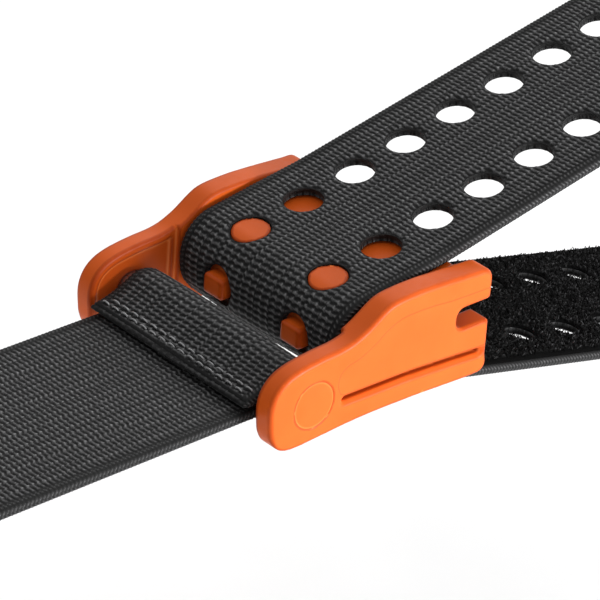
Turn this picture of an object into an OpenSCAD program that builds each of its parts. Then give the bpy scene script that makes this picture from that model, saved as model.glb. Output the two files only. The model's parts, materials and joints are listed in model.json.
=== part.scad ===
// Leg-strap buckle of a pair of tree climbing spurs: a moulded buckle with two
// cheeks and a pegged drum, a strap sewn round its front pin, and a perforated,
// pile-lined strap that wraps the drum. Millimetres. X runs along the buckle
// towards the perforated strap, Y across it, Z up from the side facing the leg.
// The origin lies on that side, mid-width, straight below the front pin.

/* [Buckle] */
// Clear width between the two cheeks
cheek_gap = 52; // [51.6:0.1:54]
// Thickness of each cheek
cheek_t = 6; // [5:0.5:7]
// Height of the front pin's axis above the base
pin_h = 8.2; // [7.6:0.1:8.6]
// Diameter of the front pin
pin_d = 8; // [6:0.5:8]
// Diameter of the flush plug over each end of the pin
plug_d = 10.8; // [9:0.2:12]
// Depth of the flush plug
plug_t = 2; // [1.5:0.1:2.5]
// Wall thickness of the drum
drum_wall = 3; // [2.5:0.1:3.5]
// Width of each peg across the strap
peg_w = 6.2; // [5:0.1:6.4]
// Height of each peg along the strap
peg_h = 4.8; // [3.5:0.1:4.8]
// How far each peg stands out of the wrapped strap
peg_out = 0.9; // [0.5:0.1:2.5]

/* [Straps] */
// Width of both straps
strap_w = 50; // [48:0.5:50.5]
// Thickness of the webbing
webbing_t = 2.2; // [1.8:0.1:2.4]
// Thickness of the pile lining
lining_t = 1; // [0.8:0.1:1.2]
// Plain border left beside the lining
lining_inset = 2; // [1:0.5:3]
// Diameter of the punched holes
hole_d = 9; // [8.4:0.1:9.4]
// Spacing of the holes along the strap
hole_pitch = 15; // [15:0.1:15.4]
// Spacing between the two rows of holes
row_gap = 25; // [22:0.5:27]
// Radius of the sewn end eyes
eye_r = 5; // [4:0.5:6]

/* [Lie of the strap] */
// Upward slope of the saddle under the strap, in degrees
saddle_rise = 9; // [8:0.5:10]
// Upward slope of the loose tail, in degrees
tail_rise = 11.8; // [10:0.1:14]
// Downward slope of the tight lead, in degrees
lead_drop = 13.5; // [12:0.5:15]
// Outer radius of the strap round the drum's nose
nose_r = 9.7; // [9.5:0.1:10]
// Slope of the drum's face below the nose, in degrees
face_slope = 50; // [48:1:54]

/* [Hidden] */
$fn = 64;

fit_gap = 0.03;
wrap_gap = 0.1;
joint_gap = 0.3;
orange = [1.0, 0.42, 0.12];
charcoal = [0.16, 0.16, 0.17];
pile_black = [0.06, 0.06, 0.065];
thread_grey = [0.32, 0.32, 0.33];
steel = [0.7, 0.7, 0.72];

// Helpers in the X-Z plane, written as [x, z]
function polar(r, a) = [r * cos(a), r * sin(a)];
function arc(c, r, a0, a1, n = 12) = [for (i = [0:n]) c + polar(r, a0 + (a1 - a0) * i / n)];
function backwards(v) = [for (i = [len(v) - 1:-1:0]) v[i]];
function rounded_box(w, h, r) = concat(
  arc([w / 2 - r, h / 2 - r], r, 0, 90, 4),
  arc([r - w / 2, h / 2 - r], r, 90, 180, 4),
  arc([r - w / 2, r - h / 2], r, 180, 270, 4),
  arc([w / 2 - r, r - h / 2], r, 270, 360, 4)
);

// Extrudes an X-Z outline across the buckle, centred on y
module across(width, y = 0) {
  translate([0, y + width / 2, 0]) rotate([90, 0, 0]) linear_extrude(width) children();
}

// Cheek outline: base, rear edge, crest, shoulder and rounded front
base_front = -4.5;
rear_x = 48.5;
crest_z = 25.5;
rear_top_z = 24.4;
shoulder_z = 18.4;
front_x = -11.3;
cheek_outline = concat(
  [[base_front, 0]],
  arc([rear_x - 1.5, 1.5], 1.5, -90, 0, 4),
  arc([rear_x - 2.5, rear_top_z - 2.6], 2.5, 0, 86, 5),
  arc([27, crest_z - 14], 14, 88, 118, 6),
  arc([11, shoulder_z + 10.3], 10, -54, -84, 5),
  [[3.5, 18.1]],
  arc([-2.8, 8.6], 8.8, 92, 142, 8),
  arc([-5.3, 10.6], 6, 146, 180, 5),
  arc([-4.9, 6.4], 6.4, 180, 270, 8)
);

slot_depth = 9.7;
slot_low = 12.3;
slot_high = 17.4;
slot_outline = concat(
  [[rear_x + 1, slot_low]],
  [[rear_x + 1, slot_high]],
  arc([rear_x - slot_depth + 2, slot_high - 2], 2, 90, 180, 4),
  arc([rear_x - slot_depth + 2, slot_low + 2], 2, 180, 270, 4)
);

// Strap path. Positions on it are given by their depth below the outer surface
strap_t = webbing_t + lining_t;
mid = strap_t / 2;
nose_c = [20.2, 14.1];
face_len = 5.5;
heel_c = nose_c + face_len * polar(1, -face_slope);
saddle_normal = 90 + saddle_rise;
face_normal = 270 - face_slope;
lead_normal = 270 - lead_drop;
saddle_dir = polar(1, saddle_rise);
tail_dir = polar(1, tail_rise);
lead_dir = polar(1, -lead_drop);
saddle_len = 24.8;
lead_root = 7.4;
tail_axis = nose_c + polar(nose_r - mid, saddle_normal) + saddle_len * saddle_dir;
lead_axis = heel_c + polar(nose_r - mid, lead_normal) + lead_root * lead_dir;

// Outer-to-inner curve of the wrap at one depth, from the lead joint to the tail joint
function wrap_curve(depth) = concat(
  arc(heel_c, nose_r - depth, lead_normal, face_normal, 8),
  arc(nose_c, nose_r - depth, face_normal, saddle_normal, 24)
);

// Hollow end of the wrap round a joint axis, between two depths
function hollow_end(axis, along, depth0, depth1, side) = let (
  r = mid + joint_gap,
  out = side * [-along[1], along[0]]
) [for (i = [0:6]) let (
  v = mid - (depth0 + (depth1 - depth0) * i / 6)
) axis - along * sqrt(r * r - v * v) + out * v];

// Round end of a free length round its own joint axis, between two depths
function round_end(axis, along, depth0, depth1, side) = let (
  out = side * [-along[1], along[0]]
) [for (i = [0:6]) let (
  v = mid - (depth0 + (depth1 - depth0) * i / 6)
) axis - along * sqrt(max(mid * mid - v * v, 0)) + out * v];

module wrap_layer(depth0, depth1) {
  polygon(concat(
    hollow_end(tail_axis, saddle_dir, depth0, depth1, 1),
    backwards(wrap_curve(depth1)),
    hollow_end(lead_axis, lead_dir, depth1, depth0, -1),
    wrap_curve(depth0)
  ));
}

// Holes by distance along the strap: tail holes beyond the tail joint, lead holes beyond the heel
first_tail_hole = 6.2;
first_lead_hole = 14.9;
neutral_r = nose_r - webbing_t / 2;
peg_arc = 3 * hole_pitch - first_tail_hole - saddle_len;
peg_angle = saddle_normal + peg_arc / neutral_r * 180 / PI;
heel_hole_angle = lead_normal - 0.9;
tail_hole_count = 7;
lead_hole_count = 8;

// A punched hole through the strap at a point, along the strap's normal
module punch(at, normal) {
  for (side = [-1, 1])
    translate([at[0], side * row_gap / 2, at[1]]) rotate([0, 90 - normal, 0])
      translate([0, 0, -10]) cylinder(d = hole_d, h = 20);
}

module wrap_holes() {
  for (k = [1, 2])
    punch(tail_axis - (k * hole_pitch - first_tail_hole) * saddle_dir, saddle_normal);
  punch(nose_c + polar(neutral_r, peg_angle), peg_angle);
  punch(heel_c + polar(neutral_r, heel_hole_angle), heel_hole_angle);
}

// Drum: a uniform wall that follows the strap's inner face, open to the rear
drum_r = nose_r - strap_t - wrap_gap;
drum_in_r = drum_r - drum_wall;
saddle_end = saddle_len - 1;
heel_end = 3;
module drum_section() {
  top_rear = nose_c + polar(drum_r - drum_wall / 2, saddle_normal) + saddle_end * saddle_dir;
  heel_rear = heel_c + polar(drum_r - drum_wall / 2, lead_normal) + heel_end * lead_dir;
  polygon(concat(
    arc(nose_c, drum_r, saddle_normal, face_normal, 24),
    arc(heel_c, drum_r, face_normal, lead_normal, 8),
    arc(heel_rear, drum_wall / 2, lead_normal, lead_normal + 180, 8),
    arc(heel_c, drum_in_r, lead_normal, face_normal, 8),
    arc(nose_c, drum_in_r, face_normal, saddle_normal, 24),
    arc(top_rear, drum_wall / 2, saddle_normal - 180, saddle_normal, 8)
  ));
}

// Rib behind each peg, filling the drum's hollow
rib_t = 3;
module drum_rib() {
  polygon(concat(
    arc(nose_c, drum_in_r + 0.5, saddle_normal, face_normal, 12),
    arc(heel_c, drum_in_r + 0.5, face_normal, lead_normal, 6),
    [heel_c + polar(drum_in_r, lead_normal) + heel_end * lead_dir],
    [nose_c + polar(drum_in_r + 0.5, saddle_normal) + 16 * saddle_dir]
  ));
}

// Peg: points along -x through its hole in the strap, with a stepped, rounded tip
peg_round = 1;
peg_step = 0.4;
module peg(y) {
  tip = nose_c[0] - nose_r - peg_out;
  root = nose_c[0] - drum_in_r - 0.2;
  z = nose_c[1] + neutral_r * sin(peg_angle);
  translate([tip, y, z]) rotate([0, 90, 0]) {
    translate([0, 0, peg_step]) linear_extrude(root - tip - peg_step)
      polygon(rounded_box(peg_h, peg_w, peg_round));
    linear_extrude(2 * peg_step)
      polygon(rounded_box(peg_h - 2 * peg_step, peg_w - 2 * peg_step, peg_round - peg_step / 2));
  }
}

// Low round boss that fills a first saddle hole, its top curved like the nose
boss_d = 8.6;
boss_below = 0.4;
boss_half = 8;
module boss(y) {
  top_r = nose_r - boss_below;
  root_r = drum_r - 1;
  at = nose_c + (saddle_len + first_tail_hole - 2 * hole_pitch) * saddle_dir;
  intersection() {
    translate([at[0], y, at[1]]) rotate([0, 90 - saddle_normal, 0]) cylinder(d = boss_d, h = nose_r);
    across(boss_d + 2, y) polygon(concat(
      [nose_c + polar(top_r, saddle_normal) + boss_half * saddle_dir],
      arc(nose_c, top_r, saddle_normal, 170, 16),
      arc(nose_c, root_r, 170, saddle_normal, 16),
      [nose_c + polar(root_r, saddle_normal) + boss_half * saddle_dir]
    ));
  }
}

pocket_depth = 1.5;
groove_depth = 1.2;
module cheek(side) {
  inner = cheek_gap / 2;
  outer = inner + cheek_t;
  difference() {
    across(cheek_t, side * (inner + cheek_t / 2)) difference() {
      polygon(cheek_outline);
      polygon(slot_outline);
    }
    // pin bore and plug counterbore
    translate([0, side * (inner + cheek_t / 2), pin_h]) rotate([90, 0, 0])
      cylinder(d = pin_d + 2 * fit_gap, h = cheek_t + 1, center = true);
    translate([0, side * (outer - plug_t / 2 + 0.5), pin_h]) rotate([90, 0, 0])
      cylinder(d = plug_d + 2 * fit_gap, h = plug_t + 1, center = true);
    // pocket in the inner face, round the sewn loop
    across(2 * pocket_depth, side * inner) polygon(concat(
      arc([-1.6, 8.6], 7.4, 95, 265, 16), [[9.6, 1.2]], [[9.6, 16]]
    ));
    // long groove in the outer face
    across(2 * groove_depth, side * outer) polygon(concat(
      arc([9, 6.6], 1.25, 91, 269, 8), [[rear_x + 1, 4.1]], [[rear_x + 1, 6.4]]
    ));
  }
}

module buckle_frame() color(orange) {
  union() {
    cheek(-1);
    cheek(1);
    across(cheek_gap + 1) drum_section();
    for (side = [-1, 1]) {
      across(rib_t, side * row_gap / 2) drum_rib();
      peg(side * row_gap / 2);
      boss(side * row_gap / 2);
    }
  }
}

pin_len = cheek_gap + 2 * (cheek_t - plug_t);
module front_pin() color(steel) {
  translate([0, 0, pin_h]) rotate([90, 0, 0]) cylinder(d = pin_d, h = pin_len, center = true);
}

module pin_plug(side) {
  translate([0, side * (cheek_gap / 2 + cheek_t - plug_t / 2), pin_h]) rotate([90, 0, 0])
    cylinder(d = plug_d, h = plug_t, center = true);
}
module near_pin_plug() color(orange) pin_plug(-1);
module far_pin_plug() color(orange) pin_plug(1);

module wrap_webbing() color(charcoal) difference() {
  across(strap_w) wrap_layer(0, webbing_t);
  wrap_holes();
}

lining_w = strap_w - 2 * lining_inset;
module wrap_lining() color(pile_black) difference() {
  across(lining_w) wrap_layer(webbing_t, strap_t);
  wrap_holes();
}

// Loose tail, ending in a rounded tip with a hook patch under it
patch_start = first_tail_hole + (tail_hole_count - 1) * hole_pitch + hole_d / 2 + 2.5;
patch_len = 22;
tail_len = patch_start + patch_len + 3;
tip_r = 12;

module tail_band(depth0, depth1, s1) {
  out = [-tail_dir[1], tail_dir[0]];
  polygon(concat(
    round_end(tail_axis, tail_dir, depth0, depth1, 1),
    [tail_axis + s1 * tail_dir + out * (mid - depth1)],
    [tail_axis + s1 * tail_dir + out * (mid - depth0)]
  ));
}

module tail_holes() {
  for (k = [0:tail_hole_count - 1])
    punch(tail_axis + (first_tail_hole + k * hole_pitch) * tail_dir, 90 + tail_rise);
}

// Trims both corners of the tip round, meeting the edges at a slight angle
corner_ease = 0.2;
module tip_corners() {
  translate([tail_axis[0], 0, tail_axis[1]]) rotate([0, -tail_rise, 0])
    for (side = [-1, 1])
      translate([tail_len - tip_r, side * (strap_w / 2 - tip_r), -5]) difference() {
        translate([0, side > 0 ? 0 : -tip_r - 1, 0]) cube([tip_r + 1, tip_r + 1, 10]);
        translate([0, 0, -1]) cylinder(r = tip_r + corner_ease, h = 12);
      }
}

module tail_webbing() color(charcoal) difference() {
  across(strap_w) tail_band(0, webbing_t, tail_len);
  tail_holes();
  tip_corners();
}

module tail_lining() color(pile_black) difference() {
  across(lining_w) tail_band(webbing_t, strap_t, patch_start - 1);
  tail_holes();
}

module on_tail(s, y, depth) {
  translate([tail_axis[0], 0, tail_axis[1]]) rotate([0, -tail_rise, 0])
    translate([s, y, mid - depth]) children();
}

patch_w = strap_w - 2 * lining_inset;
patch_r = 8;
module tail_hook_patch() color(pile_black)
  on_tail(patch_start, 0, webbing_t) difference() {
    translate([0, -patch_w / 2, -lining_t]) cube([patch_len, patch_w, lining_t]);
    for (side = [-1, 1])
      translate([patch_len - patch_r, side * (patch_w / 2 - patch_r), -2]) difference() {
        translate([0, side > 0 ? 0 : -patch_r - 1, 0]) cube([patch_r + 1, patch_r + 1, 4]);
        translate([0, 0, -1]) cylinder(r = patch_r + corner_ease, h = 6);
      }
  }

// A run of flat stitches across the strap, lying on the surface
stitch_pitch = 4;
stitch_len = 3;
stitch_w = 0.7;
stitch_t = 0.25;
module stitch_row(half) {
  count = floor(half / stitch_pitch);
  for (k = [-count:count])
    translate([-stitch_w / 2, k * stitch_pitch - stitch_len / 2, 0])
      cube([stitch_w, stitch_len, stitch_t]);
}

patch_stitch_half = 14;
module tail_patch_stitching() color(thread_grey)
  for (s = [2, patch_len - 3])
    on_tail(patch_start + s, 0, 0) stitch_row(patch_stitch_half);

// Sewn eye at the end of a strap. The strap arrives along -x at height 0 and
// its second ply lies above it. Drawn in its own X-Z plane, centred on the eye.
eye_apex = 1.28 * eye_r;
eye_open = acos(eye_r / eye_apex);
eye_ply_len = 26;
// The teardrop's straight sides run this far inside its round part
throat_ease = 0.2;
module eye_section() {
  r1 = eye_r + webbing_t;
  apex = [eye_apex, 0];
  flare = webbing_t * tan((90 - eye_open) / 2);
  difference() {
    union() {
      translate([eye_apex, -webbing_t]) square([eye_ply_len, 2 * webbing_t]);
      polygon(concat(
        arc([0, 0], r1, eye_open, 360 - eye_open, 48),
        [[eye_apex + flare, -webbing_t]],
        [[eye_apex + flare, webbing_t]]
      ));
    }
    polygon([polar(eye_r - throat_ease, eye_open), [0, 0], polar(eye_r - throat_ease, -eye_open), apex]);
    circle(r = eye_r);
  }
}

// Lead: the tight run, then the sewn eye at its end
lead_reach = 126;
lead_eye_s = lead_reach + eye_ply_len + eye_apex;
lead_lining_end = lead_reach - 4;
function on_lead(s, depth) = lead_axis + s * lead_dir + (mid - depth) * [lead_dir[1], -lead_dir[0]];

module lead_band(depth0, depth1, s1) {
  polygon(concat(
    round_end(lead_axis, lead_dir, depth0, depth1, -1),
    [on_lead(s1, depth1)],
    [on_lead(s1, depth0)]
  ));
}

module lead_holes() {
  for (k = [0:lead_hole_count - 1])
    punch(on_lead(first_lead_hole - lead_root + k * hole_pitch, 0), lead_normal);
}

// Places an eye drawn by eye_section at the lead's far end
module at_lead_eye() {
  c = on_lead(lead_eye_s, webbing_t);
  translate([c[0], 0, c[1]]) rotate([0, lead_drop, 0]) mirror([1, 0, 0]) children();
}

module lead_webbing() color(charcoal) difference() {
  across(strap_w) lead_band(0, webbing_t, lead_reach);
  lead_holes();
}

module lead_eye_webbing() color(charcoal) at_lead_eye() across(strap_w) eye_section();

module lead_lining() color(pile_black) difference() {
  across(lining_w) lead_band(webbing_t, strap_t, lead_lining_end);
  lead_holes();
}

// Rows of stitches through both plies behind an eye, on the faces above and below
eye_rows = [4, 12, 20];
eye_stitch_half = 20;
module eye_stitching() {
  for (s = eye_rows) {
    translate([eye_apex + s, 0, webbing_t]) stitch_row(eye_stitch_half);
    translate([eye_apex + s, 0, -webbing_t - stitch_t]) stitch_row(eye_stitch_half);
  }
}

module lead_eye_stitching() color(thread_grey) at_lead_eye() eye_stitching();

// Anchor strap: one webbing, drawn as its loop round the front pin, its plain run and its eye
anchor_z = 7.2;
loop_r = pin_d / 2 + 0.06;
ply_end = -12.6;
ply_meet = -8.6;
anchor_eye_x = -122;
module anchor_loop_section() {
  c = [0, pin_h];
  r1 = loop_r + webbing_t;
  up = [ply_meet, anchor_z];
  reach = norm(up - c);
  tilt = atan2(c[1] - up[1], c[0] - up[0]);
  spread = asin(loop_r / reach);
  high = c + polar(loop_r - throat_ease, tilt + 90 + spread);
  low = c + polar(loop_r - throat_ease, tilt - 90 - spread);
  difference() {
    polygon(concat(
      [[ply_end, anchor_z + webbing_t]],
      [[ply_meet - 0.4, anchor_z + webbing_t]],
      arc(c, r1, tilt + 90 + spread, tilt - 90 - spread, 40),
      [[ply_meet - 0.4, anchor_z - webbing_t]],
      [[ply_end, anchor_z - webbing_t]]
    ));
    polygon([high, c, low, up]);
    translate(c) circle(r = loop_r);
  }
}

module anchor_loop_webbing() color(charcoal) across(strap_w) anchor_loop_section();

eye_ply_end = anchor_eye_x + eye_apex + eye_ply_len;
module anchor_webbing() color(charcoal)
  translate([eye_ply_end, -strap_w / 2, anchor_z - webbing_t])
    cube([ply_end - eye_ply_end, strap_w, webbing_t]);

module anchor_eye_webbing() color(charcoal)
  translate([anchor_eye_x, 0, anchor_z]) across(strap_w) eye_section();

loop_rows = [-9.3, -11.0];
loop_stitch_half = 22;
module anchor_loop_stitching() color(thread_grey)
  for (x = loop_rows) {
    translate([x, 0, anchor_z + webbing_t]) stitch_row(loop_stitch_half);
    translate([x, 0, anchor_z - webbing_t - stitch_t]) stitch_row(loop_stitch_half);
  }

module anchor_eye_stitching() color(thread_grey)
  translate([anchor_eye_x, 0, anchor_z]) eye_stitching();

buckle_frame();
front_pin();
near_pin_plug();
far_pin_plug();
wrap_webbing();
wrap_lining();
tail_webbing();
tail_lining();
tail_hook_patch();
tail_patch_stitching();
lead_webbing();
lead_lining();
lead_eye_webbing();
lead_eye_stitching();
anchor_loop_webbing();
anchor_webbing();
anchor_eye_webbing();
anchor_loop_stitching();
anchor_eye_stitching();
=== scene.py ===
"""Looks of a climbing spur's leg-strap buckle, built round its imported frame.

Lengths are millimetres in the row's own frame, and add_mesh turns them into metres. X runs along
the buckle, Y across it and Z away from the leg. A strap is a sheet along a path in the X-Z plane.
"""
import json
import math

import bpy
import numpy as np
import openvdb
from mathutils import Matrix, Vector


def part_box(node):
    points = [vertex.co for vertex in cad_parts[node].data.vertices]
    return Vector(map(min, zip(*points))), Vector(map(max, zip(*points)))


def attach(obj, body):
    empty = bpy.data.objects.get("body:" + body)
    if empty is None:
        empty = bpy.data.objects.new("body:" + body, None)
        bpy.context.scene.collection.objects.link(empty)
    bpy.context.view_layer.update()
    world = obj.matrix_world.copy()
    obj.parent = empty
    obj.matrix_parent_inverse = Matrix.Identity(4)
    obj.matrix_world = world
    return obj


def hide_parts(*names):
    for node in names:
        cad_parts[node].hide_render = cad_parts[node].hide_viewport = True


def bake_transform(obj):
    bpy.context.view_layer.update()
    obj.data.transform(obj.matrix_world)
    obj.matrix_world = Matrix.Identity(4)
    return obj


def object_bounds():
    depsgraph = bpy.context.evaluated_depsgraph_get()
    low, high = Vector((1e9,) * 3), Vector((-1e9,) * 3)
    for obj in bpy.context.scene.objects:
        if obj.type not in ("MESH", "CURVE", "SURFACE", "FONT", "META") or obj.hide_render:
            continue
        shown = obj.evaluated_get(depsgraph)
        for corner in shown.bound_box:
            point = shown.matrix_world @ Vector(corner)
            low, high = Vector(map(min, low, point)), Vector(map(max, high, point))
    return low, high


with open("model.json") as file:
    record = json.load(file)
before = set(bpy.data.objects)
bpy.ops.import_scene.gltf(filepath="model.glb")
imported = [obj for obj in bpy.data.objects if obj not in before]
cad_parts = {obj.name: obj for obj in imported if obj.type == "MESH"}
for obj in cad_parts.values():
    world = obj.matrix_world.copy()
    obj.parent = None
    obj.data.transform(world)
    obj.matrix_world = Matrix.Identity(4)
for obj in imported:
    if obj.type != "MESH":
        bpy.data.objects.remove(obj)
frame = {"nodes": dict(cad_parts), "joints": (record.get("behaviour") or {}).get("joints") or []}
cad_box = [list(corner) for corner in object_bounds()]

MM = 0.001
JOINT = {j["name"]: np.array(j["pos_m"])[[0, 2]] / MM for j in frame["joints"]}


def box_mm(node):
    low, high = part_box(node)
    return np.array(low) / MM, np.array(high) / MM


BUCKLE_LOW, BUCKLE_HIGH = box_mm("buckle_frame")
HALF_OUT = BUCKLE_HIGH[1]
CHEEK_T = 6
HALF_IN = HALF_OUT - CHEEK_T
REAR_X = BUCKLE_HIGH[0] + 1.0
PIN = JOINT["anchor_swing"]
STRAP_HALF = box_mm("wrap_webbing")[1][1]
LINING_HALF = box_mm("wrap_lining")[1][1]
WEBBING_T = 2.2
LINING_T = 1.0
HOLE_R = 4.5
HOLE_PITCH = 15.0
ROW_Y = 12.5

# The perforated strap's lie: slopes in degrees, the nose's centre and radius, and lengths
SADDLE_RISE = 9.0
TAIL_RISE = 11.8
LEAD_DROP = 13.5
FACE_SLOPE = 50.0
NOSE = np.array([20.2, 14.1])
NOSE_R = 9.7
FACE_LEN = 5.5
SADDLE_LEN = 24.8
TAIL_LEN = 128.2
NEUTRAL_R = NOSE_R - WEBBING_T / 2


def polar(r, degrees):
    a = math.radians(degrees)
    return np.array([r * math.cos(a), r * math.sin(a)])


def arc(centre, r, a0, a1, step=4.0):
    """Points on an arc from angle a0 to a1, in degrees."""
    n = max(2, int(abs(a1 - a0) / step) + 1)
    return [np.asarray(centre) + polar(r, a) for a in np.linspace(a0, a1, n)]


HEEL = NOSE + polar(FACE_LEN, -FACE_SLOPE)
# Angles at which the straight face and the straight runs touch the nose and the heel
NOSE_TOP = 90 + SADDLE_RISE
FACE_SIDE = 270 - FACE_SLOPE
HEEL_FOOT = 270 - LEAD_DROP
rng = np.random.default_rng(7)


def smooth_step(x, a, b):
    t = np.clip((x - a) / (b - a), 0, 1)
    return t * t * (3 - 2 * t)


# ------------ meshes

def add_object(name, data):
    obj = bpy.data.objects.new(name, data)
    bpy.context.scene.collection.objects.link(obj)
    return obj


def add_mesh(name, verts, faces, smooth=True):
    """A mesh object from points in millimetres."""
    mesh = bpy.data.meshes.new(name)
    mesh.from_pydata((np.asarray(verts, float) * MM).tolist(), [], faces)
    mesh.update()
    if smooth:
        mesh.polygons.foreach_set("use_smooth", [True] * len(mesh.polygons))
    return add_object(name, mesh)


def set_attribute(obj, name, values):
    layer = obj.data.attributes.new(name, "FLOAT", "POINT")
    layer.data.foreach_set("value", np.asarray(values, np.float32))


def tube_faces(rings, sides, first=0):
    """Quads between rings of points, and a cap at each end. Its points start at number first."""
    faces = []
    for i in range(rings - 1):
        a, b = first + i * sides, first + (i + 1) * sides
        for j in range(sides):
            k = (j + 1) % sides
            faces.append([a + j, a + k, b + k, b + j])
    last = first + (rings - 1) * sides
    return faces + [list(range(first, first + sides))[::-1], list(range(last, last + sides))]


def dress(obj, material, replaced=()):
    obj.data.materials.clear()
    obj.data.materials.append(material)
    if replaced:
        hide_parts(*replaced)
    return obj


# ------------ materials

class Graph:
    """Short hand for building one material's nodes."""

    def __init__(self, name):
        self.material = bpy.data.materials.new(name)
        self.material.use_nodes = True
        self.nodes = self.material.node_tree.nodes
        self.links = self.material.node_tree.links
        self.shader = self.nodes["Principled BSDF"]
        self.place = self.add("ShaderNodeTexCoord").outputs["Object"]

    def feed(self, socket, value):
        """Links value into socket if value is an output, and else sets it."""
        if isinstance(value, bpy.types.NodeSocket):
            self.links.new(value, socket)
        else:
            socket.default_value = value

    def add(self, kind, **settings):
        node = self.nodes.new(kind)
        for key, value in settings.items():
            setattr(node, key, value)
        return node

    def noise(self, size_mm, detail=3.0, roughness=0.55, stretch=None):
        """Noise whose grain is about size_mm wide."""
        node = self.add("ShaderNodeTexNoise")
        node.inputs["Scale"].default_value = 1 / (size_mm * MM)
        node.inputs["Detail"].default_value = detail
        node.inputs["Roughness"].default_value = roughness
        vector = self.place
        if stretch:
            mapping = self.add("ShaderNodeMapping")
            mapping.inputs["Scale"].default_value = stretch
            self.links.new(vector, mapping.inputs["Vector"])
            vector = mapping.outputs["Vector"]
        self.links.new(vector, node.inputs["Vector"])
        return node.outputs["Fac"]

    def ramp(self, factor, *stops):
        """Colours, or one-number greys, at positions from 0 to 1."""
        node = self.add("ShaderNodeValToRGB")
        elements = node.color_ramp.elements
        while len(elements) < len(stops):
            elements.new(0.5)
        for element, (position, colour) in zip(elements, stops):
            if not hasattr(colour, "__len__"):
                colour = (colour,) * 3
            element.position = position
            element.color = (*colour, 1)
        self.links.new(factor, node.inputs["Fac"])
        return node.outputs["Color"]

    def mix(self, factor, a, b, blend="MIX"):
        node = self.add("ShaderNodeMix", data_type="RGBA", blend_type=blend)
        for name, value in (("Factor", factor), ("A", a), ("B", b)):
            self.feed(node.inputs[name], value)
        return node.outputs["Result"]

    def math(self, operation, a, b=0.0):
        node = self.add("ShaderNodeMath", operation=operation)
        self.feed(node.inputs[0], a)
        self.feed(node.inputs[1], b)
        return node.outputs[0]

    def attribute(self, name):
        return self.add("ShaderNodeAttribute", attribute_name=name).outputs["Fac"]

    def across(self):
        """Signed distance from the middle plane, in metres."""
        split = self.add("ShaderNodeSeparateXYZ")
        self.links.new(self.place, split.inputs[0])
        return split.outputs["Y"]

    def bump(self, height, distance_mm, strength=1.0, after=None):
        node = self.add("ShaderNodeBump")
        node.inputs["Distance"].default_value = distance_mm * MM
        node.inputs["Strength"].default_value = strength
        self.links.new(height, node.inputs["Height"])
        if after:
            self.links.new(after, node.inputs["Normal"])
        return node.outputs["Normal"]

    def finish(self, colour, roughness, normal, **sockets):
        for name, value in (("Base Color", colour), ("Roughness", roughness), ("Normal", normal)):
            if value is not None:
                self.feed(self.shader.inputs[name], value)
        for name, value in sockets.items():
            self.shader.inputs[name.replace("_", " ")].default_value = value
        return self.material


# Added to the signed distance that the "panel" attribute holds
PANEL_FAR = 10.0
# colour of the painted shade in recesses and concave corners
SHADE_ORANGE = (0.2, 0.016, 0.001, 1)
# colour of the painted highlights along convex edges
HIGHLIGHT_ORANGE = (0.85, 0.24, 0.06, 1)


def panel_edge(g):
    """Signed distance in mm to the panel's outline, and a mask of the cheeks' outer faces."""
    distance = g.math("SUBTRACT", g.attribute("panel"), PANEL_FAR)
    outer = g.math("GREATER_THAN", g.math("ABSOLUTE", g.across()), (HALF_OUT - 0.2) * MM)
    return distance, outer


def moulded_material():
    """Satin orange nylon: fine grain, faint mottling and a few scuffs, with painted shade in the groove's
    core, the slot, the pockets, the panel's crease and concave corners, and painted highlights along convex
    edges.
    """
    g = Graph("moulded_orange")
    distance, outer = panel_edge(g)
    mottle = g.ramp(g.noise(9, 2), (0.35, (0.58, 0.088, 0.0085)), (0.65, (0.62, 0.097, 0.0105)))
    scuff = g.ramp(g.noise(2.2, 5, 0.7, (1, 4, 1)), (0.66, 0.0), (0.74, 1.0))
    colour = g.mix(scuff, mottle, (0.65, 0.108, 0.014, 1))
    # a thin line of painted shade along the panel's crease
    crease_shade = g.ramp(g.math("ABSOLUTE", distance), (0.04, 0.45), (0.2, 0.0))
    colour = g.mix(g.math("MULTIPLY", crease_shade, outer), colour, (0.25, 0.03, 0.003, 1))
    # painted shade in the groove's core, the slot and the pockets beside the loop
    colour = g.mix(g.ramp(g.attribute("recess_shade"), (0.2, 0.0), (0.9, 0.75)), colour, SHADE_ORANGE)
    bend = g.add("ShaderNodeNewGeometry").outputs["Pointiness"]
    # painted highlight along convex edges, found by pointiness
    colour = g.mix(g.ramp(bend, (0.508, 0.0), (0.535, 0.45)), colour, HIGHLIGHT_ORANGE)
    # painted shade in concave corners, found by pointiness
    colour = g.mix(g.ramp(bend, (0.465, 0.5), (0.492, 0.0)), colour, SHADE_ORANGE)
    roughness = g.ramp(g.noise(0.9, 4), (0.3, 0.34), (0.7, 0.46))
    grain = g.bump(g.noise(0.22, 3, 0.6), 0.012, 0.5)
    normal = g.bump(g.noise(1.6, 2), 0.02, 0.3, grain)
    step = g.ramp(g.math("ADD", distance, 0.5), (0.25, 1.0), (0.75, 0.0))
    normal = g.bump(g.math("MULTIPLY", step, outer), 0.06, 1.0, normal)
    return g.finish(colour, roughness, normal, IOR=1.36, Specular_IOR_Level=0.21)


# The weave: width of a warp block, the ribs' pitch, the width of one slanting stretch of a rib, and
# the share of the pitch by which it leans
WARP_BLOCK = 9.3
RIB_PITCH = 1.3
RIB_WAVE = 2.1
RIB_LEAN = 0.34
# Whole number added before a fraction is taken, so that it is taken of a positive number
POSITIVE = 100.0


def warp_lines(g):
    """Thin dark lines along the webbing, one between each two blocks of warp yarns."""
    blocks = g.math("ADD", g.math("DIVIDE", g.across(), WARP_BLOCK * MM), POSITIVE + 0.5)
    wobble = g.math("MULTIPLY", g.math("SUBTRACT", g.noise(1.1, 3), 0.5), 0.05)
    distance = g.math("ABSOLUTE", g.math("SUBTRACT", g.math("FRACT", g.math("ADD", blocks, wobble)), 0.5))
    return g.ramp(distance, (0.008, 0.85), (0.02, 0.0))


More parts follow.
